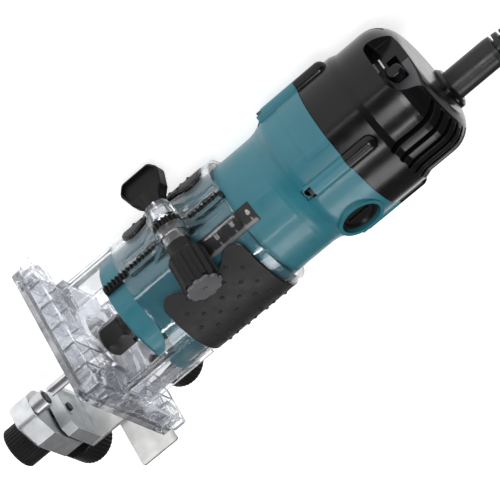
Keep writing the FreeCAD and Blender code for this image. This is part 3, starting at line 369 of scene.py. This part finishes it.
def add_cord(material):
    """Mains cord as one smooth line, which stands for the CAD's lead, coil and tail."""
    points = cord_points()
    data = bpy.data.curves.new("mains_cord", "CURVE")
    data.dimensions = "3D"
    data.bevel_depth = CORD_R
    data.bevel_resolution = 6
    data.resolution_u = 6
    data.use_fill_caps = True
    spline = data.splines.new("NURBS")
    spline.points.add(len(points) - 1)
    for point, place_at in zip(spline.points, points):
        point.co = (*place_at, 1)
    spline.order_u = 3
    spline.use_endpoint_u = True
    cord = place("mains_cord", data, material, "motor", "cord_rubber")
    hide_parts("cord_lead", "cord_tail", "cord_coil")


# ---- rubber pads ----
# Millimetres, or metres where MM is a factor. A place on the sleeve is a distance round it from the
# front and a height.
SLEEVE_R = 37.5
PAD_R = 38.9
PAD_LOW, PAD_TOP = 57.4, 110.2
PAD_LOBES = ((28.1, 103.9), (28.3, 63.9))
PAD_LOBE_R = 6.3
PAD_WAIST, PAD_WAIST_R = (6.6, 83.6), 23.1
DOT_ROWS, DOT_TOP, DOT_ROW_STEP = 8, 102.6, 6.3
DOT_START, DOT_STEP = 36.2, 11.6
DOT_PLACES = range(-2, 8)
DOT_MARGIN = 2.4
DOT_R, DOT_RISE, DOT_SINK = 1.15 * MM, 0.8 * MM, 0.1 * MM
RIM_R, RIM_RISE = 0.75 * MM, 0.35
LOBE_STEPS, WAIST_STEPS, EDGE_STEPS = 8, 12, 16


def round_sleeve(arc, z, r, side=1):
    """Point at a distance round the sleeve from the front, at radius r, on the right or left side."""
    angle = arc / SLEEVE_R
    return up(side * r * math.sin(angle), -r * math.cos(angle), z)


def inside_pad(arc, z, margin):
    """Whether a place on the sleeve lies on a pad, at least a margin from its outline."""
    half_way = SLEEVE_R * math.pi / 2
    arc = min(arc, 2 * half_way - arc)
    if not PAD_LOW + margin < z < PAD_TOP - margin:
        return False
    if math.dist((arc, z), PAD_WAIST) < PAD_WAIST_R + margin:
        return False
    for lobe in PAD_LOBES:
        if math.dist((arc, z), lobe) < PAD_LOBE_R - margin:
            return True
    return arc > PAD_LOBES[0][0] + margin / 2


def add_dome(points, faces, centre, out, r, height, rings=4, sides=14):
    """Adds a low dome of radius r that stands on a surface with the outward direction out."""
    side = out.orthogonal().normalized()
    other = out.cross(side)
    first = len(points)
    for k in range(rings):
        tilt = math.pi / 2 * k / rings
        for i in range(sides):
            turn = 2 * math.pi * i / sides
            flat = (side * math.cos(turn) + other * math.sin(turn)) * r * math.cos(tilt)
            points.append(centre + flat + out * (height * math.sin(tilt) - DOT_SINK))
    points.append(centre + out * (height - DOT_SINK))
    for k in range(rings - 1):
        for i in range(sides):
            j = (i + 1) % sides
            a, b = first + k * sides, first + (k + 1) * sides
            faces.append((a + i, a + j, b + j, b + i))
    last = first + (rings - 1) * sides
    for i in range(sides):
        faces.append((last + i, last + (i + 1) % sides, len(points) - 1))


def mesh_of(name, points, faces, smooth=True):
    """A mesh from points in metres, smooth or flat shaded."""
    mesh = bpy.data.meshes.new(name)
    mesh.from_pydata([tuple(p) for p in points], [], faces)
    mesh.polygons.foreach_set("use_smooth", [smooth] * len(mesh.polygons))
    mesh.update()
    return mesh


def add_pad_dots(material):
    """Staggered rows of small domes on both pads."""
    for name, side in (("grip_dots_right", 1), ("grip_dots_left", -1)):
        points, faces = [], []
        for row in range(DOT_ROWS):
            z = DOT_TOP - DOT_ROW_STEP * row
            stagger = DOT_STEP / 2 if row % 2 else 0
            for k in DOT_PLACES:
                arc = (DOT_START + DOT_STEP * k + stagger) * SLEEVE_R / PAD_R
                if inside_pad(arc, z, DOT_MARGIN):
                    centre = round_sleeve(arc, z, PAD_R, side)
                    out = (centre - up(0, 0, z)).normalized()
                    add_dome(points, faces, centre, out, DOT_R, DOT_RISE)
        place(name, mesh_of(name, points, faces), material, "base", "grip_rubber")


def pad_outline():
    """Points (distance round the sleeve, height) of a pad's outline, closed."""
    front = []
    (ux, uz), (lx, lz) = PAD_LOBES
    wx, wz = PAD_WAIST
    join = math.atan2(uz - wz, ux - wx)
    low_join = math.atan2(lz - wz, lx - wx)
    for i in range(LOBE_STEPS + 1):
        angle = math.pi / 2 + (join + math.pi / 2) * i / LOBE_STEPS
        front.append((ux + PAD_LOBE_R * math.cos(angle), uz + PAD_LOBE_R * math.sin(angle)))
    for i in range(1, WAIST_STEPS):
        angle = join + (low_join - join) * i / WAIST_STEPS
        front.append((wx + PAD_WAIST_R * math.cos(angle), wz + PAD_WAIST_R * math.sin(angle)))
    for i in range(LOBE_STEPS + 1):
        angle = low_join - math.pi + (math.pi / 2 - low_join) * i / LOBE_STEPS
        front.append((lx + PAD_LOBE_R * math.cos(angle), lz + PAD_LOBE_R * math.sin(angle)))
    whole = SLEEVE_R * math.pi
    back = [(whole - arc, z) for arc, z in reversed(front)]
    low_arc, low_z = front[-1]
    top_arc, top_z = back[-1]
    steps = range(1, EDGE_STEPS)
    bottom = [(low_arc + (whole - 2 * low_arc) * i / EDGE_STEPS, low_z) for i in steps]
    top = [(top_arc - (2 * top_arc - whole) * i / EDGE_STEPS, top_z) for i in steps]
    return front + bottom + back + top


def add_pad_rims(material):
    """Clear raised lip of the base round each pad."""
    for name, side in (("grip_rim_right", 1), ("grip_rim_left", -1)):
        data = bpy.data.curves.new(name, "CURVE")
        data.dimensions = "3D"
        data.bevel_depth = RIM_R
        data.bevel_resolution = 3
        outline = pad_outline()
        spline = data.splines.new("POLY")
        spline.points.add(len(outline) - 1)
        for point, (arc, z) in zip(spline.points, outline):
            point.co = (*round_sleeve(arc, z, SLEEVE_R + RIM_RISE, side), 1)
        spline.use_cyclic_u = True
        place(name, data, material, "base", "clear_plastic")


# ---- depth scale and switch marks ----
# Millimetres, or metres where MM is a factor, and degrees round the barrel from the front.
SCALE_R = 34.13
SCALE_EDGE = 33.6
SCALE_ZERO = 82.0
SCALE_MARKS = 42
TICK_HALF = 0.11
TICK_SHORT, TICK_FIVE, TICK_TEN = 3.2, 4.6, 6.2
NUMBER_ANGLE, NUMBER_SIZE, NUMBER_RISE = 22.0, 3.0 * MM, 0.05
PLATE_OUTLINE = [(-0.3, 218.2), (12.0, 218.2), (15.2, 220.2), (17.2, 223.6), (17.2, 230.0),
                 (8.0, 231.9), (-0.3, 232.3), (-0.3, 227.8), (8.1, 227.8), (8.1, 221.2), (-0.3, 221.2)]
PLATE_Y = (-24.95, -24.45)
MARK_OUTLINE = [(-10.4, 218.9), (-4.4, 218.9), (-4.4, 219.8), (-10.4, 219.8)]
MARK_Y = (-24.62, -24.48)
PLATE_BEVEL = 0.2 * MM


def on_barrel(degrees, z, r=SCALE_R):
    """Point on the scale at an angle from the front and a height."""
    angle = math.radians(degrees)
    return up(r * math.sin(angle), -r * math.cos(angle), z)


def add_ticks(material):
    """Millimetre lines along the scale's right edge, longer at 5 and 10."""
    points, faces = [], []
    for k in range(1, SCALE_MARKS + 1):
        reach = TICK_TEN if k % 10 == 0 else TICK_FIVE if k % 5 == 0 else TICK_SHORT
        first = len(points)
        for z in (SCALE_ZERO + k - TICK_HALF, SCALE_ZERO + k + TICK_HALF):
            for i in range(4):
                points.append(on_barrel(SCALE_EDGE - reach * i / 3, z))
        faces += [(first + i, first + i + 1, first + i + 5, first + i + 4) for i in range(3)]
    place("scale_ticks", mesh_of("scale_ticks", points, faces), material, "motor", "scale_print")


def add_numbers(material):
    """Generic numbers every ten millimetres of depth."""
    for k in range(1, 5):
        text = bpy.data.curves.new("digits", "FONT")
        text.body = str(10 * k)
        text.size = NUMBER_SIZE
        text.align_x = "CENTER"
        text.align_y = "CENTER"
        text.resolution_u = 4
        holder = bpy.data.objects.new("digits", text)
        bpy.context.scene.collection.objects.link(holder)
        bpy.context.view_layer.update()
        mesh = bpy.data.meshes.new_from_object(holder)
        bpy.data.objects.remove(holder)
        centre = on_barrel(NUMBER_ANGLE, SCALE_ZERO + 10 * k, SCALE_R + NUMBER_RISE)
        turn = math.radians(NUMBER_ANGLE)
        along = up_way(math.cos(turn), math.sin(turn), 0)
        out = up_way(math.sin(turn), -math.cos(turn), 0)
        facing = Matrix((along, up_way(0, 0, 1), out)).transposed().to_4x4()
        mesh.transform(Matrix.Translation(centre) @ facing)
        place(f"scale_number_{10 * k}", mesh, material, "motor", "scale_print")


def plate_mesh(name, outline, y_front, y_back):
    """Flat plate across the tool's front: outline (x, z) between two y planes."""
    count = len(outline)
    points = [up(x, y_front, z) for x, z in outline] + [up(x, y_back, z) for x, z in outline]
    faces = [tuple(range(count)), tuple(range(2 * count - 1, count - 1, -1))]
    faces += [(i, i + count, (i + 1) % count + count, (i + 1) % count) for i in range(count)]
    return mesh_of(name, points, faces, False)


def add_switch_marks(plate_material, print_material):
    """Grey plate at the on end of the switch pocket and a plain line at the off end."""
    plate = place("switch_plate", plate_mesh("switch_plate", PLATE_OUTLINE, *PLATE_Y), plate_material,
                  "motor", "grey_plastic")
    bevel = plate.modifiers.new("soft_edges", "BEVEL")
    bevel.width = PLATE_BEVEL
    bevel.segments = 2
    place("switch_mark", plate_mesh("switch_mark", MARK_OUTLINE, *MARK_Y), print_material, "motor",
          "scale_print")


# ---- build ----
add_camera()
MATERIALS = make_materials()
add_cord(MATERIALS["cord_rubber"])
add_studio()
add_floor(floor_material())
dress_nodes(MATERIALS)
add_pad_dots(MATERIALS["grip_rubber"])
add_pad_rims(MATERIALS["clear_plastic"])
add_ticks(MATERIALS["white_print"])
add_numbers(MATERIALS["white_print"])
add_switch_marks(MATERIALS["pocket_grey"], MATERIALS["white_print"])
